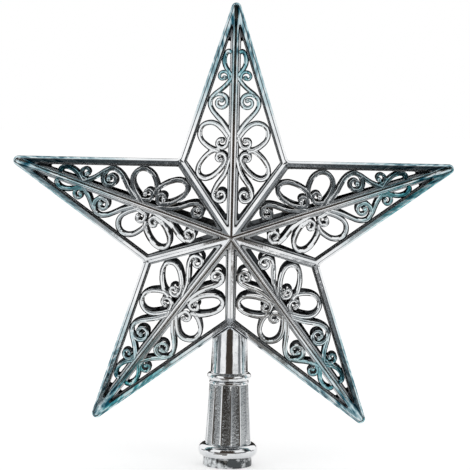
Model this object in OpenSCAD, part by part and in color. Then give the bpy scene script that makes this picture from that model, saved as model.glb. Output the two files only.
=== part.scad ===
// Openwork five-pointed tree-topper star on a hollow fluted socket.
// Millimetres, +Z up, front towards -Y, origin at the middle of the socket's foot.

/* [Star] */
// Radius of the circle through the sharp, unrounded tips
star_reach = 110; // [95:1:130]
// Depth of one half shell at the sharp, unblunted middle of the star
half_depth = 23; // [18:0.5:28]
// Height that the middle loses where it is blunted
apex_blunt = 0.2; // [0.1:0.05:0.5]
// Radius that blunts each tip
tip_round = 2.2; // [1.2:0.1:3]
// Flat across each inner corner
corner_flat = 2; // [1:0.1:4]
// Width of the flange that runs round the outside of each half
flange_width = 0.9; // [0.6:0.1:1.6]
// Thickness of one half's flange
flange_thick = 1.4; // [1:0.1:2]
// Height that a facet would have at the outermost edge
facet_edge = 2.1; // [1.6:0.1:3]

/* [Frame bars] */
// Thickness of the frame, square to a facet
frame_thick = 3; // [2.4:0.1:4]
// Width of a ridge or valley bar on one facet
bar_width = 2.4; // [2:0.1:3]
// Width of the bar along the outer edge
rim_width = 3.7; // [3.2:0.1:5]
// Width of the low ledge inside every bar
ledge_width = 0.9; // [0.5:0.1:1.3]
// Drop of the ledge below the facet
ledge_drop = 0.9; // [0.5:0.1:1.4]

/* [Scrollwork] */
// Width of a scroll strip
strip_width = 2.2; // [1.8:0.1:2.4]
// Width of the slim strips near the tip
slim_width = 1.8; // [1.4:0.1:1.9]
// Share of its width that a strip keeps at the eye of its curl
eye_share = 0.65; // [0.5:0.05:0.8]
// Thickness of a strip, square to a facet
strip_thick = 2; // [1.4:0.1:2.4]
// Drop of a strip below the facet
strip_drop = 0.5; // [0.2:0.1:0.6]

/* [Socket neck] */
// Height of the neck from the skirt to the star's crotch
neck_height = 25; // [20:0.5:34]
// Diameter of the neck where it meets the skirt
neck_foot_d = 16.5; // [15:0.1:19]
// Diameter of the neck at the star
neck_top_d = 15.4; // [13:0.1:17]
// Diameter of the neck's bore
neck_bore_d = 10.8; // [9:0.1:11]
// Thickness of the roof that closes the neck under the star
roof_thick = 2; // [1.5:0.1:4]
// Outer diameter of the neck bead
neck_bead_d = 20.2; // [18:0.1:24]
// Thickness of the neck bead
neck_bead_section = 3.5; // [2.4:0.1:4.4]
// Height of the neck bead's middle above the skirt
neck_bead_rise = 2.2; // [2.2:0.1:5]
// Length of the spigot that enters the skirt
spigot_length = 8; // [5:0.5:12]
// Wall of the spigot
spigot_wall = 1.5; // [1.1:0.1:1.8]
// Width of the tongue that is clamped between the star halves
tongue_width = 4.2; // [3:0.1:5]
// Thickness of the tongue
tongue_thick = 1.6; // [1:0.1:1.8]
// Reach of the tongue above the crotch
tongue_length = 11; // [7:0.5:16]

/* [Socket skirt] */
// Height of the skirt
skirt_height = 39; // [32:0.1:48]
// Diameter of the skirt under its collar
skirt_top_d = 17.8; // [16.6:0.1:20]
// Diameter of the skirt at the base bead
skirt_foot_d = 21.8; // [20:0.1:24]
// Diameter of the collar at the top of the skirt
collar_d = 18.1; // [17.4:0.1:21]
// Height of the collar
collar_height = 1.2; // [0.8:0.1:2]
// Number of flutes round the skirt
flute_count = 14; // [8:1:16]
// Radius of a flute's hollow at the foot of the skirt
flute_round = 3.2; // [2.4:0.1:4]
// Depth of a flute
flute_depth = 0.6; // [0.3:0.05:0.7]
// Turn of the flutes about the socket
flute_turn = -5; // [-12:1:12]
// Outer diameter of the base bead
base_bead_d = 27; // [24.5:0.1:32]
// Thickness of the base bead
base_bead_section = 6.3; // [5:0.1:7]
// Diameter of the foot ring
foot_d = 22.4; // [21:0.1:26]
// Height of the base bead's middle above the foot
foot_height = 7.3; // [6:0.1:12]
// Diameter of the socket's mouth
mouth_d = 17.6; // [16:0.1:18]
// Depth of the straight part of the mouth
mouth_depth = 8; // [5:0.5:10]

/* [Fits] */
// Gap round the spigot
spigot_clearance = 0.15; // [0.05:0.05:0.3]
// Gap round the tongue
tongue_clearance = 0.1; // [0.05:0.05:0.3]

/* [Hidden] */
$fn = 64;
ARMS = ["top", "right", "lower_right", "lower_left", "left"];
SIDES = ["left", "right"];
HALVES = ["front", "back"];
function panel_name(half, arm, side) = str(half, "_scrolls_", arm, "_", side);

// Colours of the plating: on the frame, on the scrolls and on the socket
frame_colour = "#9fb4b8";
scroll_colour = "#c3c9cc";
socket_colour = "#b9bdc0";

// Angles of a five-pointed star: between arms, half of that, and half of a tip
arm_turn = 72;
half_turn = 36;
half_tip = 18;

// Radius of the inner corners, and distance from the middle to an outer edge
inner_radius = star_reach * sin(half_tip) / cos(half_turn);
apothem = star_reach * sin(half_tip);

// A facet rises from the outer edge to the middle of the star
facet_tilt = atan((half_depth - facet_edge) / apothem);

// Depth of the flat across an inner corner
corner_depth = corner_flat / 2 * tan(half_turn);

// Heights of the crotch that the neck meets and of the star's middle
crotch_z = skirt_height + neck_height;
star_z = crotch_z + inner_radius;

// Spare size of cutting shapes, lap of neighbouring arms, and steps round a blunt tip
spare = 1;
valley_lap = 0.15;
tip_steps = 7;

// Radius of the seat for the spigot
seat_radius = neck_bore_d / 2 + spigot_wall + spigot_clearance;

// The scrolls are drawn for a star of this reach, and grow with the star
drawn_reach = 110;
drawn_scale = star_reach / drawn_reach;

// A scroll is a list: its width, its lead, and its curl or an empty list.
// The lead holds points as distance from the ridge and distance out along the arm.
// A curl holds the middle, the first radius, the loss a turn, the first angle and the sweep.
SCROLLS = [
    // Leaf that runs up the ridge towards the tip
    [slim_width, [[0.4, 71.2], [2.5, 73.6], [4.3, 76.2], [5.2, 79], [4.7, 81.8], [3.5, 83.2]], []],
    // Small curl beside the foot of the leaf
    [slim_width, [[0.4, 68.6], [2.1, 69.9]], [5.4, 71.6, 2.8, 2.1, 190, -330]],
    // Leg from the ridge down to the large curl
    [strip_width, [[0.4, 72.4], [2.2, 69.9], [4.2, 67.6], [6.5, 65.6], [8.7, 63.9], [10.4, 62]], []],
    // Long strip from the ridge out to the rim and round into the large curl
    [strip_width,
        [[0.4, 44], [2.7, 47.6], [5.2, 51], [8, 54], [10.2, 56.8], [11.1, 59.6], [10.5, 61.9], [8.7, 63.4]],
        [6.2, 60.1, 3.6, 2.4, 90, 400]],
    // Upper loop of the butterfly
    [strip_width,
        [[0.4, 42], [2.9, 45], [5.7, 48.4], [9, 50.6], [12.2, 50.6], [14.7, 48.9], [15.6, 46.2],
            [14.9, 43.3], [12.5, 40.7], [9.5, 38.9], [6.6, 38.2]], []],
    // Curl inside the upper loop
    [strip_width, [[0.4, 46.6], [2, 44.6]], [5.6, 42, 2.9, 2.2, 180, 320]],
    // Lower loop of the butterfly
    [strip_width,
        [[6.2, 39], [9.3, 38.2], [12, 36.3], [14.4, 33.5], [15.9, 30.4], [15.7, 27.5], [13.7, 25.8],
            [10.9, 26], [8, 27.8], [5.6, 30.2], [4, 32.6], [3.3, 34.5]], []],
    // Curl inside the lower loop
    [strip_width, [[4.8, 30.9], [3.6, 32.9]], [5.9, 35.1, 2.6, 2, 180, -320]],
    // Hook that runs down the ridge and curls up against the valley bar
    [strip_width,
        [[0.4, 37], [1.9, 33.6], [2.7, 30.4], [4.1, 27.2], [6, 24.5], [7.8, 21.8]],
        [5.5, 18.6, 3.3, 2.1, 10, -400]]
];

// Angles round the nose of a strip, and the turn between the points of a curl
NOSE_ANGLES = [45, 90, 135];
curl_step = 30;
function curl_points(c) = [
    for (a = [0 : curl_step : abs(c[5])])
        let (turned = c[4] + sign(c[5]) * a, r = c[2] - c[3] * a / 360)
            [c[0] + r * cos(turned), c[1] + r * sin(turned)]
];

// Smooth curve through a list of points, with one more point halfway between each two
function smooth(p) = [
    for (i = [0 : len(p) - 1]) each (
        i == len(p) - 1 ? [p[i]] :
        let (before = p[max(i - 1, 0)], after = p[min(i + 2, len(p) - 1)])
            [p[i], (9 * (p[i] + p[i + 1]) - before - after) / 16]
    )
];

// Direction of a curve at one of its points, turned to the left and of unit length
function leftward(p, i) =
    let (d = p[min(i + 1, len(p) - 1)] - p[max(i - 1, 0)])
        [-d[1], d[0]] / norm(d);

// Width along a scroll: full on the lead, narrowing along the curl
function width_at(scroll, i, lead_count, count) =
    scroll[0] * (i < lead_count ? 1 : 1 - (1 - eye_share) * (i - lead_count) / (count - lead_count));

// Outline of one scroll strip with a rounded nose at its end
function strip_outline(scroll) =
    let (
        lead = smooth(scroll[1]),
        curl = len(scroll[2]) > 0 ? curl_points(scroll[2]) : [],
        line = drawn_scale * concat(lead, curl),
        n = len(line),
        offsets = [for (i = [0 : n - 1]) leftward(line, i) * width_at(scroll, i, len(lead), n) / 2],
        last = offsets[n - 1],
        ahead = [last[1], -last[0]]
    )
    concat(
        [for (i = [0 : n - 1]) line[i] + offsets[i]],
        [for (a = NOSE_ANGLES) line[n - 1] + cos(a) * last + sin(a) * ahead],
        [for (i = [n - 1 : -1 : 0]) line[i] - offsets[i]]
    );

// A point turned about the middle of the star
function turned(p, a) = [p[0] * cos(a) - p[1] * sin(a), p[0] * sin(a) + p[1] * cos(a)];

// Outline of the star, set in by the given amount, with blunt tips and a flat across each inner corner
module star_outline(inset) {
    middle = [0, star_reach - tip_round / sin(half_tip)];
    corner = (apothem - inset) / cos(half_turn) * [sin(half_turn), cos(half_turn)];
    flat = corner_flat + inset;
    blunt = corner + flat / 2 / cos(half_turn) * [-sin(half_tip), cos(half_tip)];
    tip = [for (i = [0 : tip_steps])
        let (a = half_tip + i * (180 - 2 * half_tip) / tip_steps)
            middle + (tip_round - inset) * [cos(a), sin(a)]
    ];
    arm = concat([blunt], tip, [[-blunt[0], blunt[1]]]);
    polygon([for (i = [0 : len(ARMS) - 1]) for (p = arm) turned(p, arm_turn * i)]);
}

// Sector of one arm. It laps a little under its neighbours, so that the arms are one piece.
module arm_sector() {
    heel = -valley_lap / sin(half_turn);
    side = star_reach * [sin(half_turn), cos(half_turn)] + [0, heel];
    polygon([[0, heel], side, [0, star_reach + spare], [-side[0], side[1]]]);
}

// Window of a facet, with every bar narrowed by the given amount
module facet_window(narrowed) {
    bar = bar_width - narrowed;
    reach = apothem - rim_width + narrowed;
    ridge_low = [bar, bar * (1 + cos(half_turn)) / sin(half_turn)];
    ridge_high = [bar, (reach - bar * cos(half_tip)) / sin(half_tip)];
    side = [reach * sin(half_turn) - bar * sin(half_tip), reach * cos(half_turn) + bar * cos(half_tip)];
    polygon([ridge_low, side / cos(half_turn), ridge_high]);
}

// Tilted plate that lies between two depths below a facet
module facet_plate(from_drop, to_drop) {
    rotate([0, 0, 90 + half_tip])
        translate([0, -apothem, facet_edge])
            rotate([facet_tilt, 0, 0])
                translate([-star_reach, -half_depth, -to_drop])
                    cube([2 * star_reach, star_reach, to_drop - from_drop]);
}

// Everything under the star's facets at the given depth below them, blunted at the middle
module under_facets(drop) {
    top = half_depth - drop / cos(facet_tilt) - apex_blunt;
    intersection() {
        for (arm = ARMS) on_arm(arm, "right") intersection() {
            translate([0, 0, -spare]) linear_extrude(half_depth + 2 * spare) arm_sector();
            facet_plate(drop, star_reach);
            mirror([1, 0, 0]) facet_plate(drop, star_reach);
        }
        translate([-star_reach, -star_reach, -2 * spare])
            cube([2 * star_reach, 2 * star_reach, top + 2 * spare]);
    }
}

// Openings in one facet: its window, and the wider recess that leaves the ledge
module facet_openings() {
    linear_extrude(half_depth + spare) facet_window(0);
    intersection() {
        linear_extrude(half_depth + spare) facet_window(ledge_width);
        facet_plate(-spare, ledge_drop);
    }
}

// Flat star of the flange, with the taller star inside it
module stepped_star() {
    linear_extrude(flange_thick) star_outline(0);
    linear_extrude(half_depth + spare) star_outline(flange_width);
}

// One half of the star's frame, lying on its seam
module half_frame() {
    difference() {
        intersection() {
            stepped_star();
            under_facets(0);
        }
        under_facets(frame_thick);
        for (arm = ARMS) for (side = SIDES) on_arm(arm, side) facet_openings();
    }
}

// All scroll strips of one facet, trimmed to its window
module facet_scrolls() {
    intersection() {
        linear_extrude(half_depth + spare) intersection() {
            facet_window(0);
            union() {
                for (scroll = SCROLLS) polygon(strip_outline(scroll));
            }
        }
        facet_plate(strip_drop, strip_drop + strip_thick);
    }
}

// Turns the flat star upright: its depth then points to the front or to the back
module upright(half) {
    mirror([0, half == "back" ? 1 : 0, 0])
        translate([0, 0, star_z])
            rotate([90, 0, 0])
                children();
}

// Puts a facet on one side of one arm
module on_arm(arm, side) {
    rotate([0, 0, -arm_turn * search([arm], ARMS)[0]])
        mirror([side == "left" ? 1 : 0, 0, 0])
            children();
}

// Slot at the crotch for the tongue of the neck
module tongue_slot() {
    slot = [tongue_width + 2 * tongue_clearance, tongue_thick + 2 * tongue_clearance];
    translate([-slot[0] / 2, -slot[1] / 2, crotch_z - spare])
        cube([slot[0], slot[1], tongue_length + tongue_clearance + spare]);
}

module star_frame(half) {
    color(frame_colour) difference() {
        upright(half) half_frame();
        tongue_slot();
    }
}

module scroll_panel(half, arm, side) {
    color(scroll_colour) upright(half) on_arm(arm, side) facet_scrolls();
}

// Round bead of the given outer diameter and thickness
module bead(outer_d, section) {
    rotate_extrude() translate([(outer_d - section) / 2, 0]) circle(d = section);
}

// Everything below the star's two lower edges and the flat between them
module under_crotch() {
    wide = neck_foot_d + neck_bead_d;
    fall = wide * tan(half_turn);
    low = -crotch_z;
    peak = corner_flat / 2;
    translate([0, 0, crotch_z]) rotate([90, 0, 0])
        linear_extrude(2 * wide, center = true)
            polygon([[peak, -corner_depth], [wide, -fall], [wide, low], [-wide, low], [-wide, -fall],
                [-peak, -corner_depth]]);
}

module socket_neck() {
    roof_z = crotch_z - neck_top_d / 2 * tan(half_turn) - roof_thick;
    spigot_z = skirt_height - spigot_length;
    color(socket_colour) difference() {
        union() {
            intersection() {
                translate([0, 0, skirt_height])
                    cylinder(h = neck_height, d1 = neck_foot_d, d2 = neck_top_d);
                under_crotch();
            }
            translate([0, 0, skirt_height + neck_bead_rise]) bead(neck_bead_d, neck_bead_section);
            translate([0, 0, spigot_z])
                cylinder(h = spigot_length + spare, r = seat_radius - spigot_clearance);
            translate([-tongue_width / 2, -tongue_thick / 2, roof_z])
                cube([tongue_width, tongue_thick, crotch_z - roof_z + tongue_length]);
        }
        translate([0, 0, spigot_z - spare])
            cylinder(h = roof_z - spigot_z + spare, d = neck_bore_d);
    }
}

// Cone of the skirt, with flutes that narrow with it from the base bead to the collar
module fluted_cone() {
    height = skirt_height - foot_height;
    foot_r = skirt_foot_d / 2;
    top_r = skirt_top_d / 2;
    flute_top = flute_round * top_r / foot_r;
    lean = atan((foot_r + flute_round - top_r - flute_top) / height);
    difference() {
        cylinder(h = height, r1 = foot_r, r2 = top_r);
        for (i = [0 : flute_count - 1])
            rotate([0, 0, (i + 0.5) * 360 / flute_count + flute_turn])
                translate([foot_r + flute_round - flute_depth, 0, 0])
                    rotate([0, -lean, 0])
                        translate([0, 0, -flute_round])
                            cylinder(h = height + 2 * flute_round, r1 = flute_round, r2 = flute_top);
    }
}

module socket_skirt() {
    seat_z = skirt_height - spigot_length - spare;
    color(socket_colour) difference() {
        union() {
            translate([0, 0, foot_height]) fluted_cone();
            translate([0, 0, skirt_height - collar_height]) cylinder(h = collar_height, d = collar_d);
            translate([0, 0, foot_height]) bead(base_bead_d, base_bead_section);
            cylinder(h = foot_height, d = foot_d);
        }
        translate([0, 0, -spare]) cylinder(h = mouth_depth + spare, d = mouth_d);
        translate([0, 0, mouth_depth])
            cylinder(h = seat_z - mouth_depth, r1 = mouth_d / 2, r2 = seat_radius);
        translate([0, 0, seat_z]) cylinder(h = spigot_length + 2 * spare, r = seat_radius);
    }
}

star_frame("front");  // front_frame
star_frame("back");  // back_frame
socket_neck();
socket_skirt();
for (half = HALVES) for (arm = ARMS) for (side = SIDES)
    scroll_panel(half, arm, side);
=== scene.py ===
import math

import bmesh
import bpy
from mathutils import Matrix, Vector


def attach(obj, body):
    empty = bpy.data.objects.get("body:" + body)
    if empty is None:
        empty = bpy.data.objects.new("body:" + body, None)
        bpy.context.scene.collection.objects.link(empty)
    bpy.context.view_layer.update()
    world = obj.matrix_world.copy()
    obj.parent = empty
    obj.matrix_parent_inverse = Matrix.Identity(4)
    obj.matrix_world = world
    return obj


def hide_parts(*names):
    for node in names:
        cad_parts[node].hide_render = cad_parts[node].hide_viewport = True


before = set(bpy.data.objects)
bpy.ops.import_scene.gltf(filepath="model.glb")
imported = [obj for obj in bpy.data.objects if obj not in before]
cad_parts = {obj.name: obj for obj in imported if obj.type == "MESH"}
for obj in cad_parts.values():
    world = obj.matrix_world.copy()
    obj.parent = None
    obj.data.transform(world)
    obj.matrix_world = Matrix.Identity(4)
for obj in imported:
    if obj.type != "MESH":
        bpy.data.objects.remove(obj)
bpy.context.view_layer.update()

# Socket skirt: the lower part of the hollow stem, which slips over the leader of a tree.
# It is moulded in ABS and metallised, with a thin collar above, and a fat base bead and a foot ring below.
# Between them run shallow grained flutes with polished arrises, and the foot ring has dark patches of
# painted reflection.

# Sizes in this script are millimetres, and each finished mesh is scaled to metres.
MM = 0.001
# Points that are nearer to each other than this are one.
WELD = 0.002
SKIRT_HEIGHT = 39
SKIRT_TOP_RADIUS = 8.9
SKIRT_FOOT_RADIUS = 10.9
COLLAR_RADIUS = 9.05
COLLAR_HEIGHT = 1.2
FLUTES = 14
FLUTE_DEPTH = 0.6
FLUTE_TURN = math.radians(-5)
FLUTE_STEPS = 24
BASE_BEAD_RADIUS = 10.35
BASE_BEAD_SECTION = 3.15
BASE_BEAD_TO = 86
BEAD_STEPS = 18
FOOT_RADIUS = 11.2
FOOT_TOP_RADIUS = 11.05
FOOT_HEIGHT = 7.3
MOUTH_RADIUS = 8.8
MOUTH_DEPTH = 8
SEAT_RADIUS = 7.05
SEAT_Z = 30
EDGE_ROUND = 0.3
EDGE_STEPS = 3
SHARP_CORNER = math.radians(140)
CREASE = math.radians(40)
# Places of the grained finish and of the foot ring's painted reflections among the skirt's materials, after
# the polished one.
GRAINED, PAINTED_REFLECTION = 1, 2
# Share of a flute's width that is grained.
GRAINED_SHARE = 0.75


def linear(hex_colour):
    """Linear RGBA of an sRGB colour such as #80a0ff."""
    parts = [int(hex_colour[i:i + 2], 16) / 255 for i in (1, 3, 5)]
    light = [part / 12.92 if part <= 0.04045 else ((part + 0.055) / 1.055) ** 2.4 for part in parts]
    return (*light, 1)


def add_node(tree, kind, inputs=None, **settings):
    """Adds a node with its settings, and sets or links its inputs."""
    node = tree.nodes.new(kind)
    for name, value in settings.items():
        setattr(node, name, value)
    for name, value in (inputs or {}).items():
        if isinstance(value, bpy.types.NodeSocket):
            tree.links.new(value, node.inputs[name])
        else:
            node.inputs[name].default_value = value
    return node


def new_material(name):
    """Material with an empty node tree, and that tree."""
    material = bpy.data.materials.new(name)
    material.use_nodes = True
    material.node_tree.nodes.clear()
    return material, material.node_tree


CLOUD_MM = 9
CLOUD_FROM = 0.3
CLOUD_TO = 0.7
RIPPLE_MM = 5
RIPPLE_HEIGHT = 0.3
RIPPLE_STRENGTH = 0.25
# Dust nibs and grain are finer on the real plating. They are drawn coarse enough to show.
GRAIN_MM = 1.1
GRAIN_HEIGHT = 0.35
POLISHED_ROUGHNESS = 0.13
POLISHED_GRAIN = 0.04


def metallised_abs(name, colour, dullest=POLISHED_ROUGHNESS, grain=POLISHED_GRAIN):
    """Vacuum-metallised ABS: a mirror of aluminium under clear lacquer, on moulded plastic.
    The moulding's slight ripple bends the reflections, and fine dust nibs in the lacquer dull them."""
    material, tree = new_material(name)
    place = add_node(tree, "ShaderNodeTexCoord").outputs["Object"]
    cloud = add_node(tree, "ShaderNodeTexNoise", {
        "Vector": place, "Scale": 1 / (CLOUD_MM * MM), "Detail": 4})
    ripple = add_node(tree, "ShaderNodeTexNoise", {
        "Vector": place, "Scale": 1 / (RIPPLE_MM * MM), "Detail": 2})
    nibs = add_node(tree, "ShaderNodeTexNoise", {
        "Vector": place, "Scale": 1 / (GRAIN_MM * MM), "Detail": 3})
    gloss = add_node(tree, "ShaderNodeMapRange", {
        "Value": cloud.outputs["Fac"], "From Min": CLOUD_FROM, "From Max": CLOUD_TO,
        "To Min": dullest / 2, "To Max": dullest})
    wavy = add_node(tree, "ShaderNodeBump", {
        "Height": ripple.outputs["Fac"], "Strength": RIPPLE_STRENGTH, "Distance": RIPPLE_HEIGHT * MM})
    grainy = add_node(tree, "ShaderNodeBump", {
        "Height": nibs.outputs["Fac"], "Strength": grain, "Distance": GRAIN_HEIGHT * MM,
        "Normal": wavy.outputs["Normal"]})
    shader = add_node(tree, "ShaderNodeBsdfPrincipled", {
        "Base Color": colour(tree, place, cloud.outputs["Fac"]),
        "Metallic": 1,
        "Roughness": gloss.outputs["Result"],
        "Normal": grainy.outputs["Normal"]})
    add_node(tree, "ShaderNodeOutputMaterial", {"Surface": shader.outputs["BSDF"]})
    return material


SILVER = "#fafbfc"
SILVER_WORN = "#dcdfe2"
WORN_FROM = 0.35
WORN_TO = 0.75


def silver(tree, place, cloud):
    """Silver of the polished plating, a little greyer in cloudy patches."""
    patches = add_node(tree, "ShaderNodeMapRange", {
        "Value": cloud, "From Min": WORN_FROM, "From Max": WORN_TO})
    mix = add_node(tree, "ShaderNodeMix", {
        "Factor": patches.outputs["Result"], "A": linear(SILVER), "B": linear(SILVER_WORN)},
        data_type="RGBA")
    return mix.outputs["Result"]


def clouded(clear, dull):
    """Colour function for plating that drifts from one tone to another with its clouds."""
    def tone(tree, place, cloud):
        mix = add_node(tree, "ShaderNodeMix", {
            "Factor": cloud, "A": linear(clear), "B": linear(dull)}, data_type="RGBA")
        return mix.outputs["Result"]
    return tone


GRAINED_SILVER = "#ccd0d2"
GRAINED_WORN = "#989b9d"
FLUTE_ROUGHNESS = 0.22
FLUTE_GRAIN = 0.8
# Silver of the foot ring, and the dark of the reflections painted on it in noisy patches.
FOOT_SILVER = "#dfe2e4"
FOOT_PAINTED_REFLECTION = "#505355"
REFLECTION_PATCH_MM = 4
REFLECTION_PATCH_FROM = 0.42
REFLECTION_PATCH_TO = 0.54


def silver_with_painted_reflections(tree, place, cloud):
    """Silver of the foot ring, with dark patches that are painted reflections of the dark surroundings it
    mirrors.
    """
    reflection_noise = add_node(tree, "ShaderNodeTexNoise", {
        "Vector": place, "Scale": 1 / (REFLECTION_PATCH_MM * MM), "Detail": 3})
    patches = add_node(tree, "ShaderNodeMapRange", {
        "Value": reflection_noise.outputs["Fac"], "From Min": REFLECTION_PATCH_FROM, "From Max": REFLECTION_PATCH_TO})
    mix = add_node(tree, "ShaderNodeMix", {
        "Factor": patches.outputs["Result"], "A": linear(FOOT_SILVER), "B": linear(FOOT_PAINTED_REFLECTION)},
        data_type="RGBA")
    return mix.outputs["Result"]


def arc(middle, radius, start, end, steps):
    """Points along an arc about a middle, between two angles in degrees."""
    angles = [math.radians(start + (end - start) * i / steps) for i in range(steps + 1)]
    return [(middle[0] + radius * math.cos(angle), middle[1] + radius * math.sin(angle))
            for angle in angles]


def turned_section(points):
    """Closed outline on the XZ plane through points of radius and height, with rounded corners."""
    bm = bmesh.new()
    face = bm.faces.new([bm.verts.new((radius, 0, height)) for radius, height in points])
    corners = [loop.vert for loop in face.loops if loop.calc_angle() < SHARP_CORNER]
    bmesh.ops.bevel(bm, geom=corners, offset=EDGE_ROUND, offset_type="OFFSET", segments=EDGE_STEPS,
                    profile=0.5, affect="VERTICES", material=-1)
    bmesh.ops.delete(bm, geom=bm.faces[:], context="FACES_ONLY")
    return bm


def everything(bm):
    """All the geometry of a mesh, for an operator that takes all kinds."""
    return bm.verts[:] + bm.edges[:] + bm.faces[:]


def finished_piece(name, bm, materials):
    """Object at the origin from a mesh in millimetres, welded and with its faces outwards."""
    bmesh.ops.remove_doubles(bm, verts=bm.verts, dist=WELD)
    bmesh.ops.recalc_face_normals(bm, faces=bm.faces)
    bmesh.ops.scale(bm, vec=(MM, MM, MM), verts=bm.verts)
    for face in bm.faces:
        face.smooth = True
    for edge in bm.edges:
        edge.smooth = edge.calc_face_angle(0) < CREASE
    mesh = bpy.data.meshes.new(name)
    bm.to_mesh(mesh)
    bm.free()
    for material in materials:
        mesh.materials.append(material)
    piece = bpy.data.objects.new(name, mesh)
    bpy.context.scene.collection.objects.link(piece)
    return piece


def shade_walls_flat(piece):
    """Shades the large faces of a turned piece flat beside its rounded edges."""
    flat_walls = piece.modifiers.new("flat_walls", "WEIGHTED_NORMAL")
    flat_walls.keep_sharp = True


def cone_radius(height):
    """Radius of the skirt's cone, before it is fluted."""
    share = (height - FOOT_HEIGHT) / (SKIRT_HEIGHT - FOOT_HEIGHT)
    return SKIRT_FOOT_RADIUS + (SKIRT_TOP_RADIUS - SKIRT_FOOT_RADIUS) * share


flute_angle = 2 * math.pi / FLUTES


def across_flute(point):
    """Place of a point across its flute, from -1 at one arris to 1 at the next."""
    turn = (math.atan2(point.y, point.x) - FLUTE_TURN) % flute_angle
    return 2 * turn / flute_angle - 1


collar_z = SKIRT_HEIGHT - COLLAR_HEIGHT
bead_from = -math.degrees(math.acos((FOOT_TOP_RADIUS - BASE_BEAD_RADIUS) / BASE_BEAD_SECTION))
base_bead = arc((BASE_BEAD_RADIUS, FOOT_HEIGHT), BASE_BEAD_SECTION, bead_from, BASE_BEAD_TO, BEAD_STEPS)
bead_foot_z = base_bead[0][1]
cone_z = base_bead[-1][1]
bm = turned_section(
    [(MOUTH_RADIUS, 0), (FOOT_RADIUS, 0)] + base_bead
    + [(cone_radius(collar_z), collar_z), (COLLAR_RADIUS, collar_z), (COLLAR_RADIUS, SKIRT_HEIGHT)]
    + [(SEAT_RADIUS, SKIRT_HEIGHT), (SEAT_RADIUS, SEAT_Z), (MOUTH_RADIUS, MOUTH_DEPTH)])
bmesh.ops.rotate(bm, verts=bm.verts, cent=(0, 0, 0), matrix=Matrix.Rotation(FLUTE_TURN, 3, "Z"))
bmesh.ops.spin(bm, geom=bm.verts[:] + bm.edges[:], cent=(0, 0, 0), axis=(0, 0, 1),
               angle=flute_angle, steps=FLUTE_STEPS)
for vert in bm.verts:
    radius = vert.co.xy.length
    along_cone = cone_z - WELD < vert.co.z < collar_z + WELD
    if along_cone and abs(radius - cone_radius(vert.co.z)) < EDGE_ROUND:
        hollow = FLUTE_DEPTH * radius / SKIRT_FOOT_RADIUS * (1 - across_flute(vert.co) ** 2)
        vert.co.xy *= (radius - hollow) / radius
for face in bm.faces:
    middle = face.calc_center_median()
    on_foot = middle.z < bead_foot_z and middle.xy.length > FOOT_TOP_RADIUS - WELD
    in_flute = cone_z < middle.z < collar_z and middle.xy.length > cone_radius(middle.z) - 2 * FLUTE_DEPTH
    # The foot ring gets the silver with painted reflections.
    if on_foot:
        face.material_index = PAINTED_REFLECTION
    elif in_flute and abs(across_flute(middle)) < GRAINED_SHARE:
        face.material_index = GRAINED
bmesh.ops.spin(bm, geom=everything(bm), cent=(0, 0, 0), axis=(0, 0, 1),
               angle=2 * math.pi - flute_angle, steps=FLUTES - 1, use_duplicate=True)
# Polished plating: a bright, slightly cloudy mirror.
plated_socket = metallised_abs("metallised_abs_silver", silver)
# Grained plating: fine pits scatter the light, so that the flutes are grey and sparkle a little.
grained_flutes = metallised_abs("metallised_abs_fine_grained", clouded(GRAINED_SILVER, GRAINED_WORN),
                                FLUTE_ROUGHNESS, FLUTE_GRAIN)
# Foot ring plating: nearly as bright as the polished, but for its dark patches of painted reflection.
foot_with_painted_reflections = metallised_abs("metallised_abs_foot_painted_reflections", silver_with_painted_reflections)
skirt = finished_piece("fluted_skirt", bm, [plated_socket, grained_flutes, foot_with_painted_reflections])
shade_walls_flat(skirt)
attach(skirt, "root")
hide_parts("socket_skirt")

# Socket neck: the plain upper part of the stem, with a round bead above the skirt.
# Its roof is a gable that fits the star's crotch, with a tongue that the two star halves clamp.
# It is the same metallised ABS, and its spigot is cemented into the skirt.
NECK_HEIGHT = 25
NECK_FOOT_RADIUS = 8.25
NECK_TOP_RADIUS = 7.7
NECK_BORE_RADIUS = 5.4
NECK_BEAD_RADIUS = 8.35
NECK_BEAD_SECTION = 1.75
NECK_BEAD_RISE = 2.2
NECK_BEAD_REACH = 84
NECK_STEPS = 96
SPIGOT_RADIUS = 6.9
SPIGOT_Z = 31
ROOF_THICK = 2
TONGUE_WIDTH = 4.2
TONGUE_DEPTH = 1.6
TONGUE_HEIGHT = 11
# Half of the turn from one arm of the star to the next, which is the slope of the roof too.
HALF_TURN_DEGREES = 36
HALF_TURN = math.radians(HALF_TURN_DEGREES)
crotch_z = SKIRT_HEIGHT + NECK_HEIGHT
roof_z = crotch_z - NECK_TOP_RADIUS * math.tan(HALF_TURN) - ROOF_THICK
bead_z = SKIRT_HEIGHT + NECK_BEAD_RISE
neck_bead = arc((NECK_BEAD_RADIUS, bead_z), NECK_BEAD_SECTION, -NECK_BEAD_REACH, NECK_BEAD_REACH,
                BEAD_STEPS)
bm = turned_section(
    [(WELD, roof_z), (NECK_BORE_RADIUS, roof_z), (NECK_BORE_RADIUS, SPIGOT_Z), (SPIGOT_RADIUS, SPIGOT_Z)]
    + [(SPIGOT_RADIUS, SKIRT_HEIGHT), (NECK_FOOT_RADIUS, SKIRT_HEIGHT)] + neck_bead
    + [(NECK_TOP_RADIUS, crotch_z), (WELD, crotch_z)])
bmesh.ops.spin(bm, geom=bm.verts[:] + bm.edges[:], cent=(0, 0, 0), axis=(0, 0, 1),
               angle=2 * math.pi, steps=NECK_STEPS, use_merge=True)
for side in (-1, 1):
    slope = (side * math.sin(HALF_TURN), 0, math.cos(HALF_TURN))
    bmesh.ops.bisect_plane(bm, geom=everything(bm), dist=WELD, plane_co=(0, 0, crotch_z), plane_no=slope,
                           clear_outer=True)
    bmesh.ops.holes_fill(bm, edges=[edge for edge in bm.edges if edge.is_boundary])
tongue = bmesh.ops.create_cube(bm, size=1)["verts"]
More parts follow.
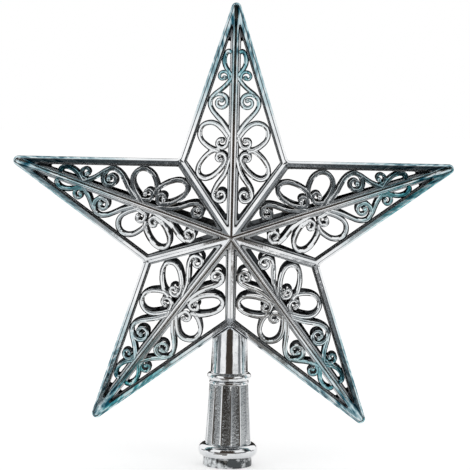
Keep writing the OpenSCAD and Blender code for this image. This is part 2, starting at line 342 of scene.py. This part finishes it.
bmesh.ops.scale(bm, vec=(TONGUE_WIDTH, TONGUE_DEPTH, TONGUE_HEIGHT), verts=tongue)
bmesh.ops.translate(bm, vec=(0, 0, crotch_z + TONGUE_HEIGHT / 2 - ROOF_THICK), verts=tongue)
neck = finished_piece("socket_stem", bm, [plated_socket])
shade_walls_flat(neck)
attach(neck, "root")
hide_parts("socket_neck")

# Star halves, back and front: frames of five arms, whose tilted facets are open windows in stepped bars.
# Each half is one thin ABS moulding with a bevelled outer edge, metallised from outside.
# Teal lacquer is misted over the tips from the lower right, and the halves are bonded along their seam.
STAR_REACH = 110
HALF_DEPTH = 23
TIP_ROUND = 2.23
CORNER_ROUND = 1.7
FLANGE_WIDTH = 1.15
FLANGE_Z = 1.1
FLANGE_RISE = 1.3
FACET_EDGE = 2.1
RIDGE_ROUND = 1.2
RIDGE_CUTS = 9
# Distances along an arm between which its ridge widens into the cap of the tip.
CAP_FROM = 93
CAP_TO = 99
CAP_ROUND = 2.2
WALL_DRAFT = 0.25
FRAME_THICK = 3
BAR_WIDTH = 2.4
RIM_WIDTH = 3.7
LEDGE_WIDTH = 0.9
LEDGE_DROP = 0.9
WINDOW_ROUND = 0.55
# How far an outline runs past the ridge and the valley, where it is then cut off.
OVERRUN = 1
LOW_STEPS = 8
CORNER_STEPS = 3
TIP_STEPS = 9
BAR_EDGE_ROUND = 0.22
BAR_EDGE_STEPS = 2
# Edges that turn by more than this are softened.
BAR_EDGE_ANGLE = math.radians(20.5)
# Places of the finishes among a half's materials; the second is plating with painted shade.
PLATED, PAINTED_SHADE, DULL = 0, 1, 2
ARMS = ("top", "right", "lower_right", "lower_left", "left")
HALF_TIP_DEGREES = 18
HALF_TIP = math.radians(HALF_TIP_DEGREES)
APOTHEM = STAR_REACH * math.sin(HALF_TIP)
facet_slope = (HALF_DEPTH - FACET_EDGE) / APOTHEM
facet_secant = math.hypot(1, facet_slope)
seam_width = (FRAME_THICK * facet_secant - FACET_EDGE) / facet_slope
star_z = crotch_z + APOTHEM / math.cos(HALF_TURN)


def bar_edge(bar, rim):
    """Closed line on one facet, at a distance from the ridge and the valley and a distance from the rim.
    With a negative first distance it runs past the ridge and the valley, round the tip and the crotch.
    Its points are distances across from the ridge and along the arm."""
    reach = APOTHEM - rim
    low = bar + WINDOW_ROUND
    low_points = arc((low, low / math.tan(HALF_TIP)), WINDOW_ROUND, 180, 360 - HALF_TURN_DEGREES, LOW_STEPS)
    if bar < 0:
        crotch_round = CORNER_ROUND + rim
        out = (reach + crotch_round) / math.cos(HALF_TURN)
        crotch_middle = (out * math.sin(HALF_TURN), out * math.cos(HALF_TURN))
        corner_points = arc(crotch_middle, crotch_round, 270 - HALF_TURN_DEGREES, 180 + HALF_TIP_DEGREES,
                            CORNER_STEPS)
        across, along = corner_points[0]
        past_valley = (across - bar * math.cos(HALF_TURN), along + bar * math.sin(HALF_TURN))
        tip_round = max(TIP_ROUND - rim, WELD)
        tip_middle = (0, (reach - tip_round) / math.sin(HALF_TIP))
        tip_points = arc(tip_middle, tip_round, HALF_TIP_DEGREES, 90, TIP_STEPS)
        past_ridge = (bar, tip_points[-1][1])
    else:
        inner = reach - WINDOW_ROUND
        corner_middle = ((inner * math.sin(HALF_TURN) - low * math.sin(HALF_TIP)) / math.cos(HALF_TURN),
                         (inner * math.cos(HALF_TURN) + low * math.cos(HALF_TIP)) / math.cos(HALF_TURN))
        corner_points = arc(corner_middle, WINDOW_ROUND, -HALF_TURN_DEGREES, HALF_TIP_DEGREES, CORNER_STEPS)
        across, along = corner_points[0]
        past_valley = (across - OVERRUN * math.sin(HALF_TURN), along - OVERRUN * math.cos(HALF_TURN))
        tip_middle = (low, (inner - low * math.cos(HALF_TIP)) / math.sin(HALF_TIP))
        tip_points = arc(tip_middle, WINDOW_ROUND, HALF_TIP_DEGREES, 180, TIP_STEPS)
        past_ridge = (bar, tip_points[-1][1] - OVERRUN)
    return low_points + [past_valley] + corner_points + tip_points + [past_ridge]


def facet_height(across, along):
    """Height of a facet above the seam, at a distance across from the ridge and along the arm."""
    return FACET_EDGE + (APOTHEM - across * math.cos(HALF_TIP) - along * math.sin(HALF_TIP)) * facet_slope


def level(height):
    """Height function that is the same all over."""
    return lambda across, along: height


def sunk(depth):
    """Height function of a plane under the facet, at a depth that is measured square to it."""
    return lambda across, along: facet_height(across, along) - depth * facet_secant


def closed_loop(bm, points, height):
    """Wire loop through points on the facet, each at its own height."""
    verts = [bm.verts.new((across, along, height(across, along))) for across, along in points]
    return [bm.edges.new((verts[i - 1], verts[i])) for i in range(len(verts))]


def half_frame():
    """One half of the frame, lying on its seam with its front up.
    One facet is bridged from rings, each with the finish up to the next, then cut, rounded and repeated."""
    rib_bar = BAR_WIDTH - LEDGE_WIDTH
    rib_rim = RIM_WIDTH - LEDGE_WIDTH
    outside = bar_edge(-OVERRUN, 0)
    # Walls, undersides and the back get the plating with painted shade.
    rings = [
        (outside, level(0), PLATED),
        (outside, level(FLANGE_Z), PLATED),
        (bar_edge(-OVERRUN, FLANGE_WIDTH - WALL_DRAFT), level(FLANGE_Z + FLANGE_RISE), PAINTED_SHADE),
        (bar_edge(-OVERRUN, FLANGE_WIDTH), sunk(0), PLATED),
        (bar_edge(rib_bar - WALL_DRAFT, rib_rim - WALL_DRAFT), sunk(0), PAINTED_SHADE),
        (bar_edge(rib_bar, rib_rim), sunk(LEDGE_DROP), DULL),
        (bar_edge(BAR_WIDTH - WALL_DRAFT, RIM_WIDTH - WALL_DRAFT), sunk(LEDGE_DROP), PAINTED_SHADE),
        (bar_edge(BAR_WIDTH, RIM_WIDTH), sunk(FRAME_THICK), PAINTED_SHADE),
        (bar_edge(-OVERRUN, seam_width), sunk(FRAME_THICK), PAINTED_SHADE),
    ]
    window_tip = max(along for across, along in bar_edge(BAR_WIDTH, RIM_WIDTH))
    bm = bmesh.new()
    for i, (points, height, finish) in enumerate(rings):
        next_points, next_height, _ = rings[(i + 1) % len(rings)]
        loops = closed_loop(bm, points, height) + closed_loop(bm, next_points, next_height)
        for face in bmesh.ops.bridge_loops(bm, edges=loops)["faces"]:
            # Ledge faces beyond the window's tip get painted shade too.
            beyond_window = finish == DULL and face.calc_center_median().y > window_tip - WINDOW_ROUND
            face.material_index = PAINTED_SHADE if beyond_window else finish
    bmesh.ops.remove_doubles(bm, verts=bm.verts, dist=WELD)
    ridge = (-1, 0, 0)
    valley = (math.cos(HALF_TURN), -math.sin(HALF_TURN), 0)
    for normal in (ridge, valley):
        bmesh.ops.bisect_plane(bm, geom=everything(bm), dist=WELD, plane_co=(0, 0, 0), plane_no=normal,
                               clear_outer=True)
    for i in range(RIDGE_CUTS):
        cut = CAP_ROUND * (i + 1) / RIDGE_CUTS
        bmesh.ops.bisect_plane(bm, geom=everything(bm), dist=WELD, plane_co=(cut, 0, 0), plane_no=ridge)
    for along in (CAP_FROM, CAP_TO):
        bmesh.ops.bisect_plane(bm, geom=everything(bm), dist=WELD, plane_co=(0, along, 0),
                               plane_no=(0, 1, 0))
    for vert in bm.verts:
        across, along, z = vert.co
        capped = min(max((along - CAP_FROM) / (CAP_TO - CAP_FROM), 0), 1)
        ridge_round = RIDGE_ROUND + (CAP_ROUND - RIDGE_ROUND) * capped
        if across < ridge_round and abs(z - facet_height(across, along)) < WELD:
            vert.co.z -= facet_slope * math.cos(HALF_TIP) * (ridge_round - across) ** 2 / (2 * ridge_round)
    bmesh.ops.mirror(bm, geom=everything(bm), matrix=Matrix.Identity(4), merge_dist=WELD, axis="X")
    bmesh.ops.spin(bm, geom=everything(bm), cent=(0, 0, 0), axis=(0, 0, 1),
                   angle=2 * HALF_TURN * (len(ARMS) - 1), steps=len(ARMS) - 1, use_duplicate=True)
    bmesh.ops.remove_doubles(bm, verts=bm.verts, dist=WELD)
    bmesh.ops.recalc_face_normals(bm, faces=bm.faces)
    softened = bm.edges.layers.float.new("bevel_weight_edge")
    for edge in bm.edges:
        edge[softened] = 1 if edge.calc_face_angle(0) > BAR_EDGE_ANGLE else 0
    return bm


RIM_TEAL = "#a8cbd3"
RIM_TEAL_WET = "#60c2ca"
TEAL_DEEP = "#174e60"
# Distances from the middle of the star between which the lacquer sets in, and between which it thickens.
TEAL_FROM = 45
TEAL_TO = 80
TEAL_THICK_FROM = 58
TEAL_THICK_TO = 88
# How far the clouds in the plating shift the lacquer's edges.
TEAL_BREAK = 26
# Streaks run out from the middle: their noise is fine round the star and drawn out along the arms.
STREAK_MM = 1.6
STREAK_REACH = 90
STREAK_SHORT = 0.2
# Noise at which a streak is thinnest and at which it is full, and the cover that is left at its thinnest.
STREAK_THIN = 0.36
STREAK_FULL = 0.5
STREAK_LEAST = 0.3
# Noise between which thick lacquer deepens.
DEEP_FROM = 0.42
DEEP_TO = 0.62
# Where the spray came from, and how squarely it had to meet a face to graze it and to wet it.
SPRAY_FROM = Vector((math.sin(HALF_TURN), 0, -math.cos(HALF_TURN)))
SPRAY_GRAZES = 0.2
SPRAY_WETS = 0.5


def tip_lacquer(plating, teal, wet_teal):
    """Colour function for a plating that turns teal near the tips, where lacquer was misted on in streaks.
    It came from the lower right and is fullest on what faces there, and it is darkest near the tips."""
    def lacquered(tree, place, cloud):
        flat = add_node(tree, "ShaderNodeVectorMath", {
            0: place, 1: (1, 0, 1), 2: (0, 0, -star_z * MM)}, operation="MULTIPLY_ADD")
        radius = add_node(tree, "ShaderNodeVectorMath", {0: flat.outputs["Vector"]}, operation="LENGTH")
        broken = add_node(tree, "ShaderNodeMath", {
            0: cloud, 1: TEAL_BREAK * MM, 2: radius.outputs["Value"]}, operation="MULTIPLY_ADD")
        mist = add_node(tree, "ShaderNodeMapRange", {
            "Value": broken.outputs["Value"],
            "From Min": (TEAL_FROM + TEAL_BREAK / 2) * MM,
            "From Max": (TEAL_TO + TEAL_BREAK / 2) * MM}, interpolation_type="SMOOTHSTEP")
        thick = add_node(tree, "ShaderNodeMapRange", {
            "Value": broken.outputs["Value"],
            "From Min": (TEAL_THICK_FROM + TEAL_BREAK / 2) * MM,
            "From Max": (TEAL_THICK_TO + TEAL_BREAK / 2) * MM})
        away = add_node(tree, "ShaderNodeVectorMath", {0: flat.outputs["Vector"]}, operation="NORMALIZE")
        around = add_node(tree, "ShaderNodeVectorMath", {
            0: away.outputs["Vector"], "Scale": STREAK_REACH * MM}, operation="SCALE")
        drawn = add_node(tree, "ShaderNodeVectorMath", {
            0: place, 1: (STREAK_SHORT, 1, STREAK_SHORT), 2: around.outputs["Vector"]},
            operation="MULTIPLY_ADD")
        streak = add_node(tree, "ShaderNodeTexNoise", {
            "Vector": drawn.outputs["Vector"], "Scale": 1 / (STREAK_MM * MM), "Detail": 4})
        cover = add_node(tree, "ShaderNodeMapRange", {
            "Value": streak.outputs["Fac"], "From Min": STREAK_THIN, "From Max": STREAK_FULL,
            "To Min": STREAK_LEAST, "To Max": 1})
        coat = add_node(tree, "ShaderNodeMath", {
            0: mist.outputs["Result"], 1: cover.outputs["Result"]}, operation="MULTIPLY")
        depth = add_node(tree, "ShaderNodeMapRange", {
            "Value": streak.outputs["Fac"], "From Min": DEEP_FROM, "From Max": DEEP_TO})
        deep = add_node(tree, "ShaderNodeMath", {
            0: depth.outputs["Result"], 1: thick.outputs["Result"]}, operation="MULTIPLY")
        facing = add_node(tree, "ShaderNodeAttribute", attribute_name="spray")
        wet = add_node(tree, "ShaderNodeMapRange", {
            "Value": facing.outputs["Fac"], "From Min": SPRAY_GRAZES, "From Max": SPRAY_WETS})
        sprayed = add_node(tree, "ShaderNodeMix", {
            "Factor": wet.outputs["Result"], "A": linear(teal), "B": linear(wet_teal)}, data_type="RGBA")
        lacquer = add_node(tree, "ShaderNodeMix", {
            "Factor": deep.outputs["Value"], "A": sprayed.outputs["Result"], "B": linear(TEAL_DEEP)},
            data_type="RGBA")
        plated = plating(tree, place, cloud)
        mix = add_node(tree, "ShaderNodeMix", {
            "Factor": coat.outputs["Value"], "A": plated, "B": lacquer.outputs["Result"]}, data_type="RGBA")
        return mix.outputs["Result"]
    return lacquered


def note_spray(piece):
    """Keeps on each face of a piece how squarely it met the lacquer's spray."""
    spray = piece.data.attributes.new("spray", "FLOAT", "FACE")
    for face in piece.data.polygons:
        spray.data[face.index].value = face.normal.dot(SPRAY_FROM)


# Dark and lighter tones of the painted shade on walls, flanks and insides.
SHADE_DARK = "#3a3d3f"
SHADE_LIGHT = "#686b6e"
LEDGE_SILVER = "#e2e6e8"
LEDGE_WORN = "#b8bcbf"
LEDGE_ROUGHNESS = 0.4
# Polished plating with lacquered tips: a bright mirror that turns to streaky, glossy teal.
plated_star = metallised_abs("metallised_abs_teal_tips", tip_lacquer(silver, RIM_TEAL, RIM_TEAL_WET))
# Plating with painted shade on walls, backs, flanks and insides: a dark, smoky mirror that stands for their
# shade.
painted_shade_plating = metallised_abs("metallised_abs_painted_shade", clouded(SHADE_DARK, SHADE_LIGHT))
# Dull plating on the low ledges, which lay in the lee of the ribs: greyer, with blurred reflections.
dull_ledges = metallised_abs("metallised_abs_dull_ledges", clouded(LEDGE_SILVER, LEDGE_WORN),
                             LEDGE_ROUGHNESS)
# Each half is made lying on its seam, and stood up to face its own way.
UPRIGHT = {
    "back": Matrix(((1, 0, 0, 0), (0, 0, 1, 0), (0, 1, 0, star_z), (0, 0, 0, 1))),
    "front": Matrix(((1, 0, 0, 0), (0, 0, -1, 0), (0, 1, 0, star_z), (0, 0, 0, 1))),
}
for half, upright in UPRIGHT.items():
    bm = half_frame()
    bmesh.ops.transform(bm, matrix=upright, verts=bm.verts)
    star_half = finished_piece(f"star_half_{half}", bm, [plated_star, painted_shade_plating, dull_ledges])
    note_spray(star_half)
    softening = star_half.modifiers.new("softened_edges", "BEVEL")
    softening.limit_method = "WEIGHT"
    softening.width = BAR_EDGE_ROUND * MM
    softening.segments = BAR_EDGE_STEPS
    softening.use_clamp_overlap = False
    softening.harden_normals = True
    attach(star_half, "root")
    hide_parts(f"{half}_frame")

# Scrollwork: strips that fill each facet's window with a leaf, curls, loops and a hook.
# They are metallised ABS and leave the mould with the frame, a little below its face and under its bars.
# A strip has sloped shoulders, a grooved crown and a flat back, and each curl ends in a round eye.
STRIP_WIDTH = 2.2
SLIM_WIDTH = 1.8
STRIP_DROP = 0.5
STRIP_BACK = 0.9
STRIP_SIDES = 4
STRIP_STEPS = 5
CURL_STEP = 30
EYE_SHARE = 0.65
EYE_RADIUS = 1.15
# Points that face up more than this are on the crown, and the groove leaves this share of their height.
CROWN_FACING = 0.95
CROWN_GROOVE = 0.73
# Faces that face up less than this are flanks, and get the plating with painted shade.
FLANK_FACING = 0.38
# A strip has a width, a lead of points across from the ridge and along the arm, and a curl or none.
# A curl has a middle, a radius, its loss in a full turn, a starting angle and a sweep.
SCROLLS = {
    "leaf": (
        STRIP_WIDTH,
        [(0.4, 71.2), (2.5, 73.6), (4.3, 76.2), (5, 79), (4.4, 81.8), (3.1, 83.1), (1.8, 82.7)], None),
    "small_curl": (SLIM_WIDTH, [(0.4, 68.6), (2.1, 69.9)], (5.4, 71.6, 2.8, 2.1, 190, -330)),
    "leg": (
        STRIP_WIDTH,
        [(0.4, 72.4), (2.2, 69.9), (4.2, 67.6), (6.5, 65.6), (8.7, 63.9), (10.4, 62)], None),
    "long_strip": (
        STRIP_WIDTH,
        [(0.4, 44), (2.7, 47.6), (5.2, 51), (8, 54), (10.2, 56.8), (11.1, 59.6), (10.5, 61.9), (8.7, 63.4)],
        (6.2, 60.1, 3.6, 2.4, 90, 400)),
    "upper_loop": (
        STRIP_WIDTH,
        [(0.4, 42), (2.9, 45), (5.7, 48.4), (9, 50.6), (12.2, 50.6), (14.7, 48.9), (15.6, 46.2),
         (14.9, 43.3), (12.5, 40.7), (9.5, 38.9), (6.6, 38.2)], None),
    "upper_curl": (STRIP_WIDTH, [(0.4, 46.6), (2, 44.6)], (5.6, 42, 2.9, 2.2, 180, 320)),
    "lower_loop": (
        STRIP_WIDTH,
        [(6.2, 39), (9.3, 38.2), (12, 36.3), (14.4, 33.5), (15.9, 30.4), (15.7, 27.5), (13.7, 25.8),
         (10.9, 26), (8, 27.8), (5.6, 30.2), (4, 32.6), (3.3, 34.5)], None),
    "lower_curl": (STRIP_WIDTH, [(4.8, 30.9), (3.6, 32.9)], (5.9, 35.1, 2.6, 2, 180, -320)),
    "hook": (
        STRIP_WIDTH,
        [(0.4, 37), (1.9, 33.6), (2.7, 30.4), (4.1, 27.2), (6, 24.5), (7.8, 21.8)],
        (5.5, 18.6, 3.3, 2.1, 10, -400)),
}


def curl_points(across, along, radius, loss, start, sweep):
    """Points along a curl that winds in towards its eye."""
    points = []
    for turn in range(0, abs(sweep) + 1, CURL_STEP):
        angle = math.radians(start + math.copysign(turn, sweep))
        reach = radius - loss * turn / 360
        points.append((across + reach * math.cos(angle), along + reach * math.sin(angle)))
    return points


def facet_strips():
    """Mesh of all strips on the right-hand facet of the top arm, in a half that lies on its seam."""
    drawing = bpy.data.curves.new("scroll_drawing", "CURVE")
    drawing.dimensions = "3D"
    drawing.twist_mode = "Z_UP"
    # The section is a unit circle, which each point's radius scales.
    drawing.bevel_depth = 1
    drawing.bevel_resolution = STRIP_SIDES
    drawing.resolution_u = STRIP_STEPS
    drawing.use_fill_caps = True
    for width, lead, curl in SCROLLS.values():
        points = lead + (curl_points(*curl) if curl else [])
        spline = drawing.splines.new("BEZIER")
        spline.bezier_points.add(len(points) - 1)
        for i, (point, (across, along)) in enumerate(zip(spline.bezier_points, points)):
            wound = max(0, i - len(lead) + 1) / max(1, len(points) - len(lead))
            point.co = (across, along, 0)
            point.radius = width / 2 * (1 - (1 - EYE_SHARE) * wound)
            point.handle_left_type = point.handle_right_type = "AUTO"
    sketch = bpy.data.objects.new("scroll_drawing", drawing)
    mesh = sketch.to_mesh()
    bm = bmesh.new()
    bm.from_mesh(mesh)
    sketch.to_mesh_clear()
    bpy.data.objects.remove(sketch)
    bpy.data.curves.remove(drawing)
    bm.normal_update()
    for vert in bm.verts:
        if vert.normal.z > CROWN_FACING:
            vert.co.z *= CROWN_GROOVE
    for _, _, curl in SCROLLS.values():
        if curl:
            eye = Matrix.Translation((*curl_points(*curl)[-1], 0))
            bmesh.ops.create_icosphere(bm, subdivisions=3, radius=EYE_RADIUS, matrix=eye)
    bm.normal_update()
    # Flanks get painted shade, and the rest gets the polished plating.
    for face in bm.faces:
        face.material_index = PAINTED_SHADE if face.normal.z < FLANK_FACING else PLATED
    crown = STRIP_WIDTH / 2
    for vert in bm.verts:
        middle_z = facet_height(vert.co.x, vert.co.y) - STRIP_DROP * facet_secant - crown
        vert.co.z = max(vert.co.z, -STRIP_BACK) + middle_z
    return bm


SCROLL_SILVER = "#fcfdfe"
SCROLL_WORN = "#e2e6e8"
SCROLL_TEAL = "#80bac4"
SCROLL_TEAL_WET = "#52c6cb"
# Polished plating that is handled less than the bars', so a touch brighter, and more fully lacquered.
scroll_plating = clouded(SCROLL_SILVER, SCROLL_WORN)
plated_scrolls = metallised_abs("metallised_abs_teal_scrolls",
                                tip_lacquer(scroll_plating, SCROLL_TEAL, SCROLL_TEAL_WET))
for half, upright in UPRIGHT.items():
    for i, arm in enumerate(ARMS):
        for side, facing in (("left", -1), ("right", 1)):
            bm = facet_strips()
            turned = Matrix.Rotation(-2 * i * HALF_TURN, 4, "Z")
            mirrored = Matrix.Diagonal((facing, 1, 1, 1))
            bmesh.ops.transform(bm, matrix=upright @ turned @ mirrored, verts=bm.verts)
            scrolls = finished_piece(f"scrollwork_{half}_{arm}_{side}", bm, [plated_scrolls, painted_shade_plating])
            note_spray(scrolls)
            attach(scrolls, "root")
            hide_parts(f"{half}_scrolls_{arm}_{side}")

# Studio: a white floor under a white surround, two soft boxes, and matt grey cards for the metal to mirror.
# The cards stand round the star and lie on the floor, where only reflections see them.
# The camera stands a little above and to the right of the star's middle, level but for a slight lean.
CAMERA_DISTANCE = 880
CAMERA_YAW = math.radians(0.63)
CAMERA_PITCH = math.radians(4.4)
CAMERA_ROLL = math.radians(1.16)
# Where the camera aims, from the star's middle.
CAMERA_AIM = (1.38, 0, -0.2)
# Focal length and width of the photo in its pixels.
FOCAL_PIXELS = 1932
PHOTO_PIXELS = 470
SENSOR = 36
scene = bpy.context.scene
scene.view_settings.view_transform = "Standard"


def direction(turn, rise):
    """Direction from the star that is turned to the right of its front and rises above level."""
    return Vector((math.sin(turn) * math.cos(rise), -math.cos(turn) * math.cos(rise), math.sin(rise)))


camera_data = bpy.data.cameras.new("camera")
camera_data.sensor_width = SENSOR
camera_data.lens = SENSOR * FOCAL_PIXELS / PHOTO_PIXELS
camera = bpy.data.objects.new("camera", camera_data)
scene.collection.objects.link(camera)
scene.camera = camera
star_middle = Vector((0, 0, star_z)) * MM
back = direction(CAMERA_YAW, CAMERA_PITCH)
camera.location = star_middle + Vector(CAMERA_AIM) * MM + back * (CAMERA_DISTANCE * MM)
camera.rotation_mode = "QUATERNION"
aim = (-back).to_track_quat("-Z", "Y")
camera.rotation_quaternion = aim @ Matrix.Rotation(CAMERA_ROLL, 3, "Z").to_quaternion()

WHITE = "#ffffff"
# Strength at which the surround lights the object. It shows, and is mirrored, at full strength.
SURROUND_LIGHT = 0.75
world = bpy.data.worlds.new("studio")
scene.world = world
world.use_nodes = True
tree = world.node_tree
tree.nodes.clear()
rays = add_node(tree, "ShaderNodeLightPath").outputs
seen = add_node(tree, "ShaderNodeMath", {
    0: rays["Is Camera Ray"], 1: rays["Is Glossy Ray"]}, operation="MAXIMUM")
shown = add_node(tree, "ShaderNodeMath", {
    0: seen.outputs["Value"], 1: rays["Is Transmission Ray"]}, operation="MAXIMUM")
strength = add_node(tree, "ShaderNodeMapRange", {
    "Value": shown.outputs["Value"], "To Min": SURROUND_LIGHT, "To Max": 1})
surround = add_node(tree, "ShaderNodeBackground", {
    "Color": linear(WHITE), "Strength": strength.outputs["Result"]})
add_node(tree, "ShaderNodeOutputWorld", {"Surface": surround.outputs["Background"]})

FLOOR_PAINT = "#f4f4f4"
FLOOR_HALF = 6000
# How much whiter the floor is to the camera and in reflections than its paint.
FLOOR_LIFT = 0.36
FLOOR_LIFT_MIRRORED = 0.25
bm = bmesh.new()
bmesh.ops.create_grid(bm, x_segments=1, y_segments=1, size=FLOOR_HALF)
floor_paint, tree = new_material("white_floor_paint")
rays = add_node(tree, "ShaderNodeLightPath").outputs
paint = add_node(tree, "ShaderNodeBsdfDiffuse", {"Color": linear(FLOOR_PAINT)})
mirrored = add_node(tree, "ShaderNodeMath", {
    0: rays["Is Glossy Ray"], 1: FLOOR_LIFT_MIRRORED}, operation="MULTIPLY")
lift = add_node(tree, "ShaderNodeMath", {
    0: rays["Is Camera Ray"], 1: FLOOR_LIFT, 2: mirrored.outputs["Value"]}, operation="MULTIPLY_ADD")
glow = add_node(tree, "ShaderNodeEmission", {"Color": linear(WHITE), "Strength": lift.outputs["Value"]})
both = add_node(tree, "ShaderNodeAddShader", {0: paint.outputs["BSDF"], 1: glow.outputs["Emission"]})
add_node(tree, "ShaderNodeOutputMaterial", {"Surface": both.outputs["Shader"]})
floor = finished_piece("floor", bm, [floor_paint])

CARD_STEPS = 12
CARD_FAR = 1600
CARD_NEAR = 450
CARD_CLOSE = 142
# A standing card has a distance from the star's middle, its left and right, its low and high, and a grey.
# Its sides are angles in degrees, seen from that middle.
CARDS = {
    "front_dark": (CARD_FAR, -30, 30, 2, 42, "#4a423c"),
    "front_low": (CARD_FAR, -23, 23, -3.5, 2, "#4a423c"),
    "front_top": (CARD_FAR, -5, 5, 46, 88, "#a2a6a9"),
    "front_top_left": (CARD_FAR, -75, -5, 46, 88, "#4a4e51"),
    "front_top_right": (CARD_FAR, 5, 75, 46, 88, "#4a4e51"),
    "left_side": (CARD_FAR, -106, -72, 4, 45, "#3c3f42"),
    "right_side": (CARD_FAR, 72, 106, 4, 45, "#3c3f42"),
    "left_low": (CARD_FAR, -72, -60, -3.5, 5, "#606366"),
    "right_mid": (CARD_FAR, 34, 50, -3.5, 8, "#7a7d80"),
    "right_low": (CARD_FAR, 50, 72, -3.5, 10, "#7a7d80"),
    "socket_front": (CARD_NEAR, -21, 21, -15.5, -5, "#4a423c"),
    "skirt_front": (CARD_CLOSE, -50, 50, -45, -32, "#5c5752"),
    "socket_left": (CARD_NEAR, -80, -57, -15.5, -5, "#85888b"),
    "socket_right": (CARD_NEAR, 57, 75, -15.5, -5, "#85888b"),
    "back_dark": (CARD_FAR, 156, 204, -3.5, 42, "#30302f"),
    "socket_back": (CARD_NEAR, 159, 201, -15.5, -5, "#4a423c"),
    "socket_back_left": (CARD_NEAR, 100, 123, -15.5, -5, "#85888b"),
    "socket_back_right": (CARD_NEAR, 237, 260, -15.5, -5, "#85888b"),
}
# A card on the floor has its near and far edge, its left and right in degrees, and a grey.
FLOOR_CARDS = {
    "floor_left_near": (27, 90, -45, 0, "#94908c"),
    "floor_middle_near": (21, 27, -15, -2, "#94908c"),
    "floor_mid": (95, 230, -50, 50, "#78746f"),
    "floor_far": (280, 450, -55, 55, "#4f4a46"),
    "floor_back": (280, 450, 125, 235, "#4f4a46"),
    "floor_left": (140, 450, -80, -55, "#b0b3b6"),
    "floor_right": (140, 450, 55, 78, "#b0b3b6"),
}
# A floor card lies this high, clear of the floor.
FLOOR_CARD_Z = 0.4


def stage_card(name, section, left, right, height, grey):
    """Adds a card of matt paint that only reflections see, swept about the upright from left to right.
    The points of its section are a distance to the front and a rise above its height."""
    bm = bmesh.new()
    line = [bm.verts.new((0, -reach, rise)) for reach, rise in section]
    for start, end in zip(line, line[1:]):
        bm.edges.new((start, end))
    bmesh.ops.rotate(bm, verts=bm.verts, cent=(0, 0, 0), matrix=Matrix.Rotation(math.radians(left), 3, "Z"))
    bmesh.ops.spin(bm, geom=everything(bm), cent=(0, 0, 0), axis=(0, 0, 1),
                   angle=math.radians(right - left), steps=CARD_STEPS)
    bmesh.ops.translate(bm, vec=(0, 0, height), verts=bm.verts)
    card_paint, tree = new_material(f"card_{name}")
    paint = add_node(tree, "ShaderNodeBsdfDiffuse", {"Color": linear(grey)})
    add_node(tree, "ShaderNodeOutputMaterial", {"Surface": paint.outputs["BSDF"]})
    card = finished_piece(f"card_{name}", bm, [card_paint])
    card.visible_camera = False
    card.visible_diffuse = False
    card.visible_shadow = False


for name, (distance, left, right, low, high, grey) in CARDS.items():
    stage_card(name, arc((0, 0), distance, low, high, CARD_STEPS), left, right, star_z, grey)
for name, (near, far, left, right, grey) in FLOOR_CARDS.items():
    stage_card(name, [(near, 0), (far, 0)], left, right, FLOOR_CARD_Z, grey)

BOX_TURN = math.radians(50)
BOX_RISE = math.radians(22)
BOX_DISTANCE = 1500
BOX_SIZE = 700
BOX_WATTS = 1.3
for name, side in (("left_box", -1), ("right_box", 1)):
    lamp = bpy.data.lights.new(name, "AREA")
    lamp.size = BOX_SIZE * MM
    lamp.energy = BOX_WATTS
    box = bpy.data.objects.new(name, lamp)
    box.visible_glossy = False
    scene.collection.objects.link(box)
    towards = direction(side * BOX_TURN, BOX_RISE)
    box.location = star_middle + towards * (BOX_DISTANCE * MM)
    box.rotation_mode = "QUATERNION"
    box.rotation_quaternion = towards.to_track_quat("Z", "Y")

bpy.context.view_layer.update()
